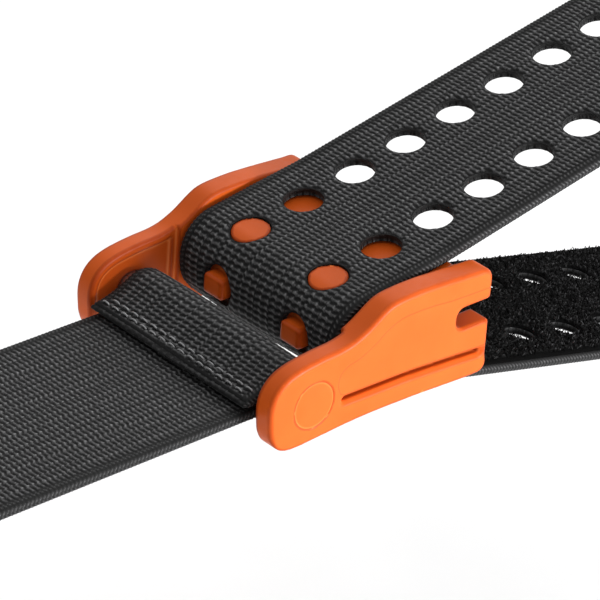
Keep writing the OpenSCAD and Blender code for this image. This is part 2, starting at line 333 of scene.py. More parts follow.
def plain_side_weave(g):
    """Ribs like those of weave(), drawn by nodes for the side that is a plain sheet; they give a bump and
    painted shade in the pits.
    """
    t = g.math("FRACT", g.math("ADD", g.math("DIVIDE", g.across(), RIB_WAVE * MM), POSITIVE))
    lean = g.math("MULTIPLY", g.math("SUBTRACT", t, 0.5), -RIB_LEAN)
    u = g.math("FRACT", g.math("ADD", g.math("DIVIDE", g.attribute("along"), RIB_PITCH), lean))
    rib = g.math("ABSOLUTE", g.math("SUBTRACT", u, 0.5))
    open_part = g.math("SINE", g.math("MULTIPLY", t, math.pi))
    edge = g.math("ADD", g.math("MULTIPLY", open_part, 0.14), 0.1)
    pit = g.math("MINIMUM", g.math("DIVIDE", rib, edge), 1.0)
    knob = g.ramp(t, (0.0, 0.25), (0.25, 0.0))
    return g.math("ADD", g.math("MULTIPLY", g.math("POWER", pit, 1.5), 0.72), g.math("MULTIPLY", pit, knob))


def webbing_material():
    """Woven nylon: the colour follows the ribs' height, with painted light on the crests and painted shade
    in the pits between the ribs, and single filaments.
    """
    g = Graph("charcoal_webbing")
    plain = g.attribute("plain_side")
    drawn = plain_side_weave(g)
    relief = g.mix(plain, g.attribute("relief"), drawn)
    # the colour follows the ribs' height: painted shade in the pits, painted light on the crests
    yarn_painted_light = g.ramp(relief, (0.15, (0.0022, 0.0022, 0.0023)), (0.5, (0.0125, 0.0125, 0.0128)),
                  (0.75, (0.053, 0.053, 0.054)), (1.0, (0.17, 0.17, 0.172)))
    fleck = g.ramp(g.noise(0.4, 4, 0.65), (0.35, 0.45), (0.7, 1.5))
    colour = g.mix(1.0, yarn_painted_light, fleck, "MULTIPLY")
    colour = g.mix(warp_lines(g), colour, (0.003, 0.003, 0.003, 1))
    roughness = g.ramp(g.noise(0.8, 3), (0.3, 0.58), (0.7, 0.78))
    filament = g.bump(g.noise(0.12, 2, 0.6, (1, 0.25, 1)), 0.05, 0.8)
    filament = g.bump(g.math("MULTIPLY", drawn, plain), 0.3, 1.0, filament)
    return g.finish(colour, roughness, filament, IOR=1.45, Specular_IOR_Level=0.22,
                    Sheen_Weight=0.04, Sheen_Roughness=0.5)


def pile_material():
    """Black loop pile: its colour follows the pile's height, with painted shade making it near black at the
    roots and dark grey at the tips.
    """
    g = Graph("black_pile")
    relief = g.attribute("relief")
    # painted shade at the roots, from the relief attribute
    shade = g.ramp(relief, (0.25, (0.0012, 0.0012, 0.0012)), (0.7, (0.009, 0.009, 0.009)),
                   (1.0, (0.045, 0.045, 0.046)))
    fleck = g.ramp(g.noise(0.3, 4, 0.7), (0.42, 0.4), (0.68, 2.2))
    colour = g.mix(1.0, shade, fleck, "MULTIPLY")
    normal = g.bump(g.noise(0.16, 3, 0.7), 0.06, 0.8)
    return g.finish(colour, 0.9, normal, IOR=1.45, Specular_IOR_Level=0.06)


def hook_material():
    g = Graph("black_hook")
    shade = g.ramp(g.noise(0.6, 3), (0.35, (0.006, 0.006, 0.007)), (0.7, (0.02, 0.02, 0.021)))
    normal = g.bump(g.noise(0.2, 2), 0.03, 0.5)
    return g.finish(shade, 0.5, normal, IOR=1.5, Specular_IOR_Level=0.4)


def thread_material():
    """Bonded polyester thread with a slight shine and a twist."""
    g = Graph("grey_thread")
    shade = g.ramp(g.noise(0.5, 3), (0.3, (0.19, 0.19, 0.195)), (0.7, (0.34, 0.34, 0.345)))
    twist = g.bump(g.noise(0.14, 1, 0.4, (2, 0.6, 2)), 0.04, 0.7)
    return g.finish(shade, 0.45, twist, IOR=1.5, Specular_IOR_Level=0.5)


def steel_material():
    """Drawn steel bar, finely lined along its length."""
    g = Graph("pin_steel")
    shade = g.ramp(g.noise(0.3, 4, 0.7, (1, 0.03, 1)), (0.3, (0.42, 0.42, 0.44)), (0.7, (0.6, 0.6, 0.62)))
    roughness = g.ramp(g.noise(0.5, 3, 0.6, (1, 0.05, 1)), (0.3, 0.25), (0.7, 0.4))
    normal = g.bump(g.noise(0.2, 2, 0.6, (1, 0.03, 1)), 0.01, 0.5)
    return g.finish(shade, roughness, normal, Metallic=1.0)


MOULDED = moulded_material()
WEBBING = webbing_material()
PILE = pile_material()
HOOK = hook_material()
THREAD = thread_material()
STEEL = steel_material()


# ------------ distance fields

def line_distance(x, z, line):
    """Distance to an open line."""
    best = np.full(np.broadcast(x, z).shape, np.inf)
    for (ax, az), (bx, bz) in zip(line[:-1], line[1:]):
        ex, ez = bx - ax, bz - az
        t = np.clip(((x - ax) * ex + (z - az) * ez) / (ex * ex + ez * ez + 1e-12), 0, 1)
        best = np.minimum(best, (x - ax - t * ex) ** 2 + (z - az - t * ez) ** 2)
    return np.sqrt(best)


def outline_distance(x, z, outline):
    """Signed distance to a closed outline, negative inside."""
    closed = outline + outline[:1]
    inside = np.zeros(np.broadcast(x, z).shape, bool)
    for (ax, az), (bx, bz) in zip(closed[:-1], closed[1:]):
        if bz != az:
            inside ^= ((az > z) != (bz > z)) & (x < ax + (z - az) * (bx - ax) / (bz - az))
    return line_distance(x, z, closed) * np.where(inside, -1, 1)


def rounded_slab(flat, y, y0, y1, r):
    """A flat outline's distance, extruded from y0 to y1 with edges of radius r."""
    a = flat + r
    b = np.abs(y - (y0 + y1) / 2) - (y1 - y0) / 2 + r
    outside = np.sqrt(np.maximum(a, 0) ** 2 + np.maximum(b, 0) ** 2)
    return np.minimum(np.maximum(a, b), 0) + outside - r


def smooth_min(a, b, k):
    """Joins two solids with a fillet of about k."""
    h = np.clip(0.5 + 0.5 * (b - a) / k, 0, 1)
    return b + (a - b) * h - k * h * (1 - h)


def smooth_max(a, b, k):
    return -smooth_min(-a, -b, k)


# ------------ buckle

# Edge radii: of the outer faces, of the inner faces, and along the base
EDGE_R = 1.05
INNER_EDGE_R = 0.7
BASE_EDGE_R = 0.35
FACE_Y = HALF_OUT - 0.02
SLOT_LOW, SLOT_HIGH, SLOT_DEPTH, SLOT_CORNER_R = 12.3, 17.4, 9.7, 2.0
# The pocket inside each front end, and its second step, inset from the outline
POCKET_REAR = 11.5
POCKET_DEPTH = 1.0
STEP_REAR, STEP_INSET, STEP_Y = 10.2, 2.0, 27.6
WALL = 3.0
DRUM_R = NOSE_R - WEBBING_T - LINING_T + 0.2


def flowing(points, step=0.6):
    """A curve through all the points, without corners."""
    p = np.asarray(points, float)
    p = np.vstack([2 * p[0] - p[1], p, 2 * p[-1] - p[-2]])
    out = []
    for a, b, c, d in zip(p[:-3], p[1:-2], p[2:-1], p[3:]):
        for u in np.arange(0, 1, step / max(step, np.hypot(*(c - b)))):
            out.append(0.5 * (2 * b + (c - a) * u + (2 * a - 5 * b + 4 * c - d) * u ** 2
                              + (3 * b - a - 3 * c + d) * u ** 3))
    return out + [p[-2]]


BASE = [(43.5, -0.35), (38, -0.1), (31, 0.25), (24, 0.45), (17, 0.55), (10, 0.4), (3, -0.05), (-4.8, -0.45)]
FRONT_EDGE = [(-8.4, 0.2), (-10.4, 1.9), (-11.5, 4.2), (-11.85, 7), (-12, 9.4), (-11.8, 11.4),
              (-11.1, 13.4), (-9.8, 15.2), (-7.9, 16.6), (-5.6, 17.5)]
CREST = [(-2.8, 18.1), (1.75, 18.65), (6, 18.9), (8.3, 19.2), (10.6, 19.8), (13.5, 21.1), (15.6, 22.4),
         (17.7, 23.8), (19.9, 24.95), (22.3, 25.5), (26, 25.75), (30, 25.8), (34, 25.65), (40, 25.3),
         (45, 24.95)]
REAR_TOP_R, REAR_BASE_R = 2.6, 2.3


def cheek_outline():
    """Base, rounded front, shoulder, crest and rear edge."""
    return (flowing(BASE + FRONT_EDGE + CREST)
            + arc((REAR_X - REAR_TOP_R, 22.35), REAR_TOP_R, 84, 0, 15)
            + arc((REAR_X - REAR_BASE_R, 1.95), REAR_BASE_R, 0, -84, 15))


def slot_outline():
    r, front = SLOT_CORNER_R, REAR_X - SLOT_DEPTH
    return ([(REAR_X + 3, SLOT_LOW), (REAR_X + 3, SLOT_HIGH)]
            + arc((front + r, SLOT_HIGH - r), r, 90, 180, 15)
            + arc((front + r, SLOT_LOW + r), r, 180, 270, 15))


def panel_outline():
    """The faint raised panel on the outer face, above the groove."""
    return flowing([(7.2, 8.4), (6.5, 10.2), (6.5, 11.8), (7.3, 13.5), (9.4, 14.7), (11.9, 15.2),
                    (14.4, 16.3), (16.8, 17.6), (19.2, 19.3), (22.3, 20.7), (25.5, 21.2), (32, 21.1),
                    (38.7, 20.5), (REAR_X + 2, 20.1)]) + [(REAR_X + 2, 6.2), (9, 7.4)]


def drum_line():
    """Middle of the drum's wall, from the saddle's rear end round the nose to the heel."""
    r = DRUM_R - WALL / 2
    saddle = NOSE + polar(r, NOSE_TOP) + (SADDLE_LEN - 1) * polar(1, SADDLE_RISE)
    heel = HEEL + polar(r, HEEL_FOOT) + 3 * polar(1, -LEAD_DROP)
    return [saddle] + arc(NOSE, r, NOSE_TOP, FACE_SIDE) + arc(HEEL, r, FACE_SIDE, HEEL_FOOT) + [heel]


# The groove is a channel with slanting sides and a narrower, deeper core
GROOVE = [(8.8, 6.4), (27, 6.1), (40, 5.3), (REAR_X - 2.2, 4.75)]
CHANNEL_HALF, CHANNEL_DEPTH = 1.3, 1.3
CORE_HALF, CORE_DEPTH = 0.48, 2.5
RIB_HALF = 1.5
SADDLE_DIR = polar(1, SADDLE_RISE)
BOSS = NOSE + 1.0 * SADDLE_DIR
BOSS_RISE, BOSS_R = 2.3, 4.3
PEG_TIP = NOSE[0] - NOSE_R - 0.9
PEG_ROOT = 16.6
PEG_Z = 12.27
PEG_HALF_H, PEG_HALF_W, PEG_R = 2.4, 3.1, 0.85
BORE_R = 4.03
PLUG_SEAT_R, PLUG_DEPTH = 5.3, 2.0


def buckle_field(x, y, z):
    """Signed distance to the whole moulding."""
    side = np.abs(y)
    outline = outline_distance(x, z, cheek_outline())
    inner = HALF_IN + POCKET_DEPTH * smooth_step(POCKET_REAR - x, -0.15, 0.15)
    ease = BASE_EDGE_R + (EDGE_R - BASE_EDGE_R) * smooth_step(z, 1, 4)
    middle = (HALF_IN + HALF_OUT) / 2 + 0.5
    ease = np.where(side > middle, ease, np.minimum(ease, INNER_EDGE_R))
    cheek = rounded_slab(outline, side, inner, FACE_Y, ease)

    # second step of the pocket, inside its rim
    step = np.maximum(outline + STEP_INSET, x - STEP_REAR)
    cheek = smooth_max(cheek, -rounded_slab(step, side, 0, STEP_Y, 0.4), 0.5)

    cheek = smooth_max(cheek, -outline_distance(x, z, slot_outline()), 0.9)
    groove = line_distance(x, z, GROOVE)
    sunk = HALF_OUT - side
    channel = np.maximum(0.8 * (groove - CHANNEL_HALF + 0.75 * sunk), sunk - CHANNEL_DEPTH)
    core = np.maximum(groove - CORE_HALF, sunk - CORE_DEPTH)
    cheek = smooth_max(cheek, -smooth_min(channel, core, 0.15), 0.3)

    flat_drum = line_distance(x, z, drum_line()) - WALL / 2
    drum = np.maximum(flat_drum, side - HALF_IN - 1.8)
    hollow = np.maximum(outline_distance(x, z, rib_outline()), -flat_drum - WALL)
    rib = np.maximum(hollow, np.abs(side - ROW_Y) - RIB_HALF)
    drum = smooth_min(drum, rib, 0.8)
    a = np.maximum(np.abs(z - PEG_Z) - PEG_HALF_H + PEG_R, 0)
    b = np.maximum(np.abs(side - ROW_Y) - PEG_HALF_W + PEG_R, 0)
    c = np.maximum(np.maximum(PEG_TIP - x, x - PEG_ROOT) + PEG_R, 0)
    drum = smooth_min(drum, np.sqrt(a * a + b * b + c * c) - PEG_R, 0.15)

    # low round bosses under the first saddle holes, their tops curved like the nose
    along = (x - BOSS[0]) * SADDLE_DIR[0] + (z - BOSS[1]) * SADDLE_DIR[1]
    above = -(x - BOSS[0]) * SADDLE_DIR[1] + (z - BOSS[1]) * SADDLE_DIR[0]
    boss = np.maximum(np.hypot(along, side - ROW_Y) - BOSS_R, np.maximum(flat_drum - BOSS_RISE, -above))
    drum = np.minimum(drum, boss)

    body = smooth_min(cheek, drum, 0.9)
    reach = np.hypot(x - PIN[0], z - PIN[1])
    bore = np.maximum(reach - BORE_R, HALF_IN - 1 - side)
    seat = np.maximum(reach - PLUG_SEAT_R, HALF_OUT - PLUG_DEPTH - side)
    return np.maximum(np.maximum(body, -bore), -seat)


def rib_outline():
    """Section of the two ribs that fill the drum's hollow behind the pegs."""
    r = DRUM_R - WALL / 2
    return (arc(NOSE, r, NOSE_TOP, FACE_SIDE, 8) + arc(HEEL, r, FACE_SIDE, HEEL_FOOT, 8)
            + [HEEL + polar(r - 1.5, HEEL_FOOT) + 3 * polar(1, -LEAD_DROP),
               NOSE + polar(r - 1, NOSE_TOP) + 16 * polar(1, SADDLE_RISE)])


def polygonise(field, low, high, voxel):
    """Meshes the zero surface of field, then pulls the points exactly onto it."""
    axes = [np.arange(a, b + voxel, voxel) for a, b in zip(low, high)]
    values = field(axes[0][:, None, None], axes[1][None, :, None], axes[2][None, None, :])
    grid = openvdb.FloatGrid(3 * voxel)
    grid.copyFromArray(np.clip(values, -3 * voxel, 3 * voxel).astype(np.float32))
    points, quads = grid.convertToQuads(0.0)
    points = np.asarray(points, float) * voxel + np.array([a[0] for a in axes])
    h = 0.02
    for _ in range(3):
        here = field(*points.T)
        slope = np.stack([
            field(*(points + np.eye(3)[i] * h).T) - field(*(points - np.eye(3)[i] * h).T)
            for i in range(3)], 1) / (2 * h)
        size = np.maximum((slope ** 2).sum(1), 0.25)
        points -= np.clip(here / size, -0.3 * voxel, 0.3 * voxel)[:, None] * slope
    return points, np.asarray(quads)[:, ::-1]


def recess_shade(x, side, z):
    """Where shade is painted on the moulding: the groove's core, the slot (less towards its rear opening)
    and the pockets beside the loop.
    """
    in_groove = (side > HALF_OUT - 3.5) * (line_distance(x, z, GROOVE) < 1.2)
    core = smooth_step(HALF_OUT - side, 0.7, 1.5) * in_groove
    in_wall = (side < HALF_OUT - 0.8) * (side > HALF_IN + 0.4)
    in_slot = in_wall * (outline_distance(x, z, slot_outline()) < 0.5)
    slot = in_slot * (0.75 - 0.45 * smooth_step(x, 39, 48))
    pocket = 0.48 * (side > HALF_IN + 0.6) * (side < HALF_IN + 2.2) * (x < POCKET_REAR - 0.4)
    return np.maximum(core, np.maximum(slot, pocket))


def build_buckle():
    pad = 1.2
    voxel = 0.42
    points, quads = polygonise(buckle_field, BUCKLE_LOW - pad, BUCKLE_HIGH + pad, voxel)
    buckle = add_mesh("buckle", points, quads.tolist())
    x, y, z = points.T
    set_attribute(buckle, "panel", PANEL_FAR + outline_distance(x, z, panel_outline()))
    # painted shade for the recesses, which the moulded material reads
    set_attribute(buckle, "recess_shade", recess_shade(x, np.abs(y), z))
    dress(buckle, MOULDED, ["buckle_frame"])
    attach(buckle, "buckle")


def build_plug(name, node, y_sign, sides=96):
    """Plug turned about the pin's axis. It sits a hair below the cheek, inside a flat rim."""
    outer = FACE_Y + 0.012
    profile = [(5.2, HALF_OUT - PLUG_DEPTH), (5.5, HALF_OUT - 1.8), (5.5, outer - 0.03), (5.47, outer),
               (5.3, outer), (5.29, outer - 0.1), (5.2, outer - 0.11), (4.6, outer - 0.05),
               (2.0, outer - 0.05), (0.4, outer - 0.05)]
    angles = np.linspace(0, 2 * math.pi, sides, endpoint=False)
    verts = [(PIN[0] + r * math.cos(a), y_sign * along, PIN[1] + r * math.sin(a))
             for r, along in profile for a in angles]
    faces = tube_faces(len(profile), sides)
    plug = add_mesh(name, verts, faces if y_sign > 0 else [face[::-1] for face in faces])
    dress(plug, MOULDED, [node])
    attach(plug, "buckle")


# ------------ strap paths

PATH_STEP = 0.25


def distances(points):
    """Distance along a line at each of its points."""
    return np.r_[0, np.cumsum(np.hypot(*np.diff(points, axis=0).T))]


def softened(line, spread):
    """An evenly stepped line, blurred along its length by a bell curve, its ends kept straight."""
    half = int(3 * spread / PATH_STEP)
    weights = np.exp(-0.5 * (np.arange(-half, half + 1) * PATH_STEP / spread) ** 2)
    weights /= weights.sum()
    ahead = line[0] + (line[0] - line[1]) * np.arange(half, 0, -1)[:, None]
    behind = line[-1] + (line[-1] - line[-2]) * np.arange(1, half + 1)[:, None]
    padded = np.concatenate([ahead, line, behind])
    return np.stack([np.convolve(padded[:, i], weights, "valid") for i in (0, 1)], 1)


class Path:
    """A smooth line in the X-Z plane, read by distance along it."""

    def __init__(self, points, soften=0.0):
        pts = np.asarray(points, float)
        pts = pts[np.r_[True, np.hypot(*np.diff(pts, axis=0).T) > 1e-6]]
        s = distances(pts)
        even = np.linspace(0, s[-1], int(s[-1] / PATH_STEP) + 1)
        line = np.stack([np.interp(even, s, pts[:, i]) for i in (0, 1)], 1)
        if soften:
            line = softened(line, soften)
        self.line = line
        self.s = distances(line)
        along = np.gradient(line, self.s, axis=0)
        self.along = along / np.hypot(*along.T)[:, None]
        self.length = self.s[-1]

    def at(self, s):
        """Points and left-hand normals at distances s."""
        p = [np.interp(s, self.s, self.line[:, i]) for i in (0, 1)]
        t = [np.interp(s, self.s, self.along[:, i]) for i in (0, 1)]
        size = np.hypot(*t)
        return p[0], p[1], -t[1] / size, t[0] / size

    def nearest(self, point):
        """Distance along the path at the place nearest to point."""
        return self.s[np.argmin(np.hypot(*(self.line - np.asarray(point)).T))]


FACE_DIR = 180 - FACE_SLOPE
SPLIT = NOSE + polar(NEUTRAL_R, FACE_SIDE) - FACE_LEN / 2 * polar(1, FACE_DIR)
# The joints lie at the middle of webbing and lining together, and the paths at the webbing's middle
TO_MIDDLE = (WEBBING_T + LINING_T) / 2 - WEBBING_T / 2
TAIL_START = JOINT["tail_peel"] + polar(TO_MIDDLE, 90 + TAIL_RISE)
LEAD_START = JOINT["lead_swing"] + polar(TO_MIDDLE, HEEL_FOOT)


def tail_path():
    """From below the nose, over the drum and the saddle, to the tail's tip."""
    tip = TAIL_START + TAIL_LEN * polar(1, TAIL_RISE)
    return Path([SPLIT] + arc(NOSE, NEUTRAL_R, FACE_SIDE, NOSE_TOP, 2) + [TAIL_START, tip], soften=0.9)


# Sewn eyes: inner radius, distance from the centre to where the plies meet, second ply's length
EYE_R = 5.0
EYE_APEX = 1.28 * EYE_R
EYE_PLY = 26.0
LEAD_REACH = 126.0
ANCHOR_Z = 7.2
ANCHOR_EYE_X = -122.0


def eye_points(centre, heading):
    """Middle line of a sewn eye: the strap arrives below, and its end lies above it.

    Heading is the direction from the eye back along the strap, in degrees. Above is 90 degrees more."""
    half = WEBBING_T / 2
    back, up = polar(1, heading), polar(1, heading + 90)
    r = EYE_R + half
    open_angle = math.degrees(math.acos(r / (EYE_APEX + WEBBING_T)))

    def spot(along, height):
        return centre + along * back + height * up

    ring = [centre + polar(r, heading - open_angle - t) for t in np.linspace(0, 360 - 2 * open_angle, 60)]
    return ([spot(EYE_APEX + EYE_PLY, -half), spot(EYE_APEX + 3.5, -half)] + ring
            + [spot(EYE_APEX + 3.5, half), spot(EYE_APEX + EYE_PLY, half)])


def lead_path():
    """From below the nose, round the heel, down the lead and round its eye."""
    run = polar(1, -LEAD_DROP)
    inner = polar(WEBBING_T / 2, 90 - LEAD_DROP)
    centre = LEAD_START + inner + (LEAD_REACH + EYE_PLY + EYE_APEX) * run
    # at this heading the second ply would lie below the lead, so the eye is mirrored about the run
    offsets = [p - centre for p in eye_points(centre, 180 - LEAD_DROP)]
    eye = [centre + (2 * np.dot(v, run) * run - v) for v in offsets]
    return Path([SPLIT] + arc(HEEL, NEUTRAL_R, FACE_SIDE, HEEL_FOOT, 2) + [LEAD_START] + eye, soften=0.9)


LOOP_R = 5.2
PLY_END = -12.5


def anchor_path():
    """From the free end of the upper ply, round the pin, along the strap and round its eye."""
    top = ANCHOR_Z + WEBBING_T / 2
    low = ANCHOR_Z - WEBBING_T / 2
    start = [(PLY_END, top + 0.8), (-10.4, top + 1.05), (-8.0, top + 1.75), (-5.6, 11.0)]
    ring = arc(PIN, LOOP_R, 113, -112, 3)
    back = [(-5.4, 4.35), (-8.2, low - 0.35), (-11, low)]
    eye = eye_points(np.array([ANCHOR_EYE_X, ANCHOR_Z]), 0)
    return Path(start + ring + back + eye, soften=0.8)


# ------------ woven straps

# Edge yarns: how far they stand out and their pitch; then the edge's radius and the selvage's width
EDGE_BUMP = 0.32
EDGE_PITCH = 1.0
EDGE_R_WEB = 0.6
SELVAGE = 1.35


def weave(s, y, ends, holes, lean):
    """Height of the woven ribs: 0 in the pits, up to 0.8 on the ribs and up to 1 on their knobs."""
    block = np.floor(y / WARP_BLOCK + 0.5)
    drift = 0.06 * np.sin(s / 3.1 + 1.7 * block) + 0.05 * np.sin(s / 5.3 - y / 6.1) + 0.27 * block
    t = (y / RIB_WAVE + 0.06 * np.sin(s / 2.3 + y / 3.7)) % 1.0
    u = (s / RIB_PITCH + lean * RIB_LEAN * (t - 0.5) + drift) % 1.0 - 0.5
    open_part = np.sin(math.pi * t) ** 0.7
    width = 0.12 + 0.17 * open_part
    pit = (0.62 + 0.38 * open_part) * np.clip(1 - (u / width) ** 2, 0, 1) ** 0.7
    knob = np.exp(-((t - 0.12) / 0.13) ** 2) + np.exp(-((t - 1.12) / 0.13) ** 2)
    ridge = 0.5 + 0.5 * np.cos(2 * math.pi * (np.abs(u) - 0.4))
    height = (1 - pit) * (0.46 + 0.34 * ridge + 0.2 * knob)
    # selvage: one row of slanting yarns along each edge
    inset = STRAP_HALF - EDGE_R_WEB - np.abs(y)
    edge = 1 - smooth_step(inset, SELVAGE, SELVAGE + 0.3)
    yarns = 0.5 + 0.5 * np.cos(2 * math.pi * (s / EDGE_PITCH - 0.55 * inset))
    row = np.sin(math.pi * np.clip(inset / SELVAGE, 0, 1)) ** 0.5
    height = height * (1 - edge) + edge * (0.12 + 0.8 * yarns * row)
    # the low heights at the hole rims and at the ends also give painted shade there, since the webbing's
    # colour follows the height
    for hs, hy in holes:
        ring = np.hypot(s - hs, y - hy) - HOLE_R
        angle = np.arctan2(y - hy, s - hs)
        fringe = 0.15 * np.sin(11 * angle + hs) * np.sin(4 * angle + 2)
        keep = smooth_step(ring, fringe, fringe + 0.4)
        height = height * keep + (1 - keep) * 0.25
    for end in ends:
        keep = smooth_step(np.abs(s - end), 0.4, 0.9)
        height = height * keep + (1 - keep) * 0.22
    return height


def snap_holes(S, Y, holes, r):
    """Moves grid points onto the hole rims. Returns masks of the rim points and of those to drop."""
    rim, drop = np.zeros(S.shape, bool), np.zeros(S.shape, bool)
    for hs, hy in holes:
        d = np.hypot(S - hs, Y - hy)
        inside = np.pad(d < r, 1, constant_values=True)
        near_open = np.zeros(S.shape, bool)
        rows, cols = S.shape
        for i in (0, 1, 2):
            for j in (0, 1, 2):
                near_open |= ~inside[i:i + rows, j:j + cols]
        on_rim = (d < r) & near_open
        rim |= on_rim
        drop |= (d < r) & ~near_open
        k = r / np.maximum(d[on_rim], 1e-6)
        S[on_rim] = hs + (S[on_rim] - hs) * k
        Y[on_rim] = hy + (Y[on_rim] - hy) * k
        ease = (d >= r) & (d < r + 1.2)
        ease[[0, -1]] = False
        ease[:, [0, -1]] = False
        for _ in range(4):
            for grid in (S, Y):
                around = (np.roll(grid, 1, 0) + np.roll(grid, -1, 0) + np.roll(grid, 1, 1)
                          + np.roll(grid, -1, 1)) / 4
                grid[ease] = around[ease]
    return rim, drop


def cell_corners(grid):
    """The four corners of each cell of a grid, in order round the cell."""
    return np.stack([grid[:-1, :-1], grid[1:, :-1], grid[1:, 1:], grid[:-1, 1:]], -1).reshape(-1, 4)


def grid_quads(index, rim, drop):
    """Quads of a grid of point numbers, without those inside a hole."""
    inside = cell_corners(drop).any(1) | cell_corners(rim).all(1)
    return cell_corners(index)[~inside]


def rim_loop(quads, wanted, S, Y, hole):
    """Point numbers round one hole, in order of angle."""
    edges = np.sort(np.concatenate([quads[:, [i, (i + 1) % 4]] for i in range(4)]), 1)
    pairs, counts = np.unique(edges, axis=0, return_counts=True)
    border = np.unique(pairs[counts == 1])
    border = border[wanted[border]]
    border = border[np.hypot(S[border] - hole[0], Y[border] - hole[1]) < HOLE_R + 1.5]
    angle = np.arctan2(Y[border] - hole[1], S[border] - hole[0])
    order = np.argsort(angle)
    return border[order], angle[order]


def zip_loops(a, angle_a, b, angle_b):
    """Triangles between two rings that are both in order of angle."""
    next_a, next_b = ([*angles[1:], angles[0] + 2 * math.pi, math.inf] for angles in (angle_a, angle_b))
    a, b = ([*ring.tolist(), int(ring[0])] for ring in (a, b))
    faces, i, j = [], 0, 0
    while i < len(a) - 1 or j < len(b) - 1:
        if next_a[i] <= next_b[j]:
            faces.append([a[i], a[i + 1], b[j]])
            i += 1
        else:
            faces.append([a[i], b[j + 1], b[j]])
            j += 1
    return faces


# Steps of a strap's detailed side to one step of its plain side
COARSE = 3


def strap(name, path, half, thickness, offset, side, relief, depth, holes, step,
          s_range=None, edge_r=EDGE_R_WEB, tip_r=0.0, hole_r=HOLE_R, bulge=None, edge_tone=1.0,
          round_start=0.0, rim_dip=0.0):
    """A closed sheet along path.

    Its detailed face is offset from the path by offset along the left-hand normal, and looks along
    side times that normal. relief(s, y) gives the detail's height from 0 to 1, and depth scales it."""
    s0, s1 = s_range or (0, path.length)
    rows = int(round((s1 - s0) / step[0] / COARSE)) * COARSE + 1
    cols = int(round(2 * (half - edge_r) / step[1] / COARSE)) * COARSE + 1
    s = np.linspace(s0, s1, rows)
    y = np.linspace(-(half - edge_r), half - edge_r, cols)

    def squeeze(ss, yy):
        """Narrows the strap towards a rounded tip."""
        if not tip_r:
            return yy
        t = np.clip((ss - (s1 - tip_r)) / tip_r, 0, 1)
        return yy * (half - tip_r + tip_r * np.sqrt(1 - 0.98 * t * t)) / half

    def place(ss, yy, deep, lift):
        """Points deep below the detailed face, raised by lift."""
        px, pz, nx, nz = path.at(ss)
        if round_start:
            short = np.clip(1 - (ss - s0) / round_start, 0, 1)
            pinch = 0.46 * thickness * (1 - np.sqrt(1 - 0.9 * short ** 2))
            deep = pinch + deep * (1 - 2 * pinch / thickness)
        off = offset - side * deep + side * lift + (bulge(ss, yy) if bulge else 0)
        return np.stack([px + nx * off, squeeze(ss, yy), pz + nz * off], -1)

    S, Y = (g.copy() for g in np.meshgrid(s, y, indexing="ij"))
    rim, drop = snap_holes(S, Y, holes, hole_r)
    height = relief(S, squeeze(S, Y))
    dip = np.zeros(S.shape)
    for hs, hy in holes:
        dip = np.maximum(dip, 1 - smooth_step(np.hypot(S - hs, Y - hy) - hole_r, -0.2, 1.3))
    verts = [place(S, Y, 0, depth * height - rim_dip * dip).reshape(-1, 3)]
    reliefs = [height.ravel()]
    top = np.arange(rows * cols).reshape(rows, cols)
    top_quads = grid_quads(top, rim, drop)
    count = rows * cols

    # the two edges: a quarter round, a flat and a quarter round, with two rows of slanting yarns
    turns = [math.radians(t) for t in (20, 45, 70, 90)]
    quarter = [(edge_r * math.sin(t), edge_r * (1 - math.cos(t))) for t in turns]
    ring = quarter + [(edge_r, deep) for deep in np.linspace(edge_r, thickness - edge_r, 4)[1:-1]]
    ring += [(out, thickness - deep) for out, deep in quarter[::-1] + [(0.0, 0.0)]]
    walls = []
    for sign, column in ((-1, 0), (1, -1)):
        index = [top[:, column]]
        for out, deep in ring:
            level = deep / thickness
            bumps = 0.5 + 0.5 * np.cos(2 * math.pi * (s / EDGE_PITCH + 1.6 * abs(level - 0.5)))
            bumps = bumps * (0.25 + 0.75 * abs(math.sin(2 * math.pi * level)) ** 0.6)
            fade = 1 - smooth_step(deep, thickness - 0.5, thickness)
            lift = depth * height[:, column] * max(0, 1 - deep / 0.5)
            y_edge = sign * (half - edge_r + out + EDGE_BUMP * bumps * fade * min(1, depth / 0.3) - 0.08)
            verts.append(place(s, y_edge, deep, lift))
            # the relief sets the colour too: painted shade between the edge yarns
            reliefs.append(edge_tone * (0.14 + 0.78 * bumps))
            index.append(np.arange(count, count + rows))
            count += rows
        walls.append(np.stack(index, 1))

    # the plain back, on a coarser grid that shares the edges' last row
    Sb, Yb = (g.copy() for g in np.meshgrid(s[::COARSE], y[::COARSE], indexing="ij"))
    rim_b, drop_b = snap_holes(Sb, Yb, holes, hole_r)
    back = np.zeros(Sb.shape, int)
    back[:, 0] = walls[0][::COARSE, -1]
    back[:, -1] = walls[1][::COARSE, -1]
    inner = back.shape[1] - 2
    back[:, 1:-1] = count + np.arange(back.shape[0] * inner).reshape(-1, inner)
    verts.append(place(Sb[:, 1:-1], Yb[:, 1:-1], thickness, 0).reshape(-1, 3))
    reliefs.append(np.full(Sb[:, 1:-1].size, 0.35))
    count += back.shape[0] * inner
    back_quads = grid_quads(back, rim_b, drop_b)

    flip = side < 0
    faces = [q[::-1] if flip else q for q in top_quads.tolist()]
    for wall, outward in zip(walls, (True, False)):
        quads = cell_corners(wall)[:, [0, 3, 2, 1]]
        faces += [q if outward != flip else q[::-1] for q in quads.tolist()]
    # a coarse quad at the edge takes in the fine points along that edge
    shared = {}
    for wall in walls:
        for i in range(len(back) - 1):
            fine = wall[i * COARSE:(i + 1) * COARSE + 1, -1].tolist()
            shared[(fine[0], fine[-1])] = fine
            shared[(fine[-1], fine[0])] = fine[::-1]
    for q in back_quads.tolist():
        whole = []
        for a, b in zip(q, q[1:] + q[:1]):
            whole += shared.get((a, b), [a, b])[:-1]
        faces.append(whole if flip else whole[::-1])
    for row, last in ((0, False), (-1, True)):
        ring = (top[row].tolist() + walls[1][row, 1:].tolist() + back[row, 1:-1].tolist()[::-1]
                + walls[0][row, 1:].tolist()[::-1])
        faces.append(ring if last == flip else ring[::-1])

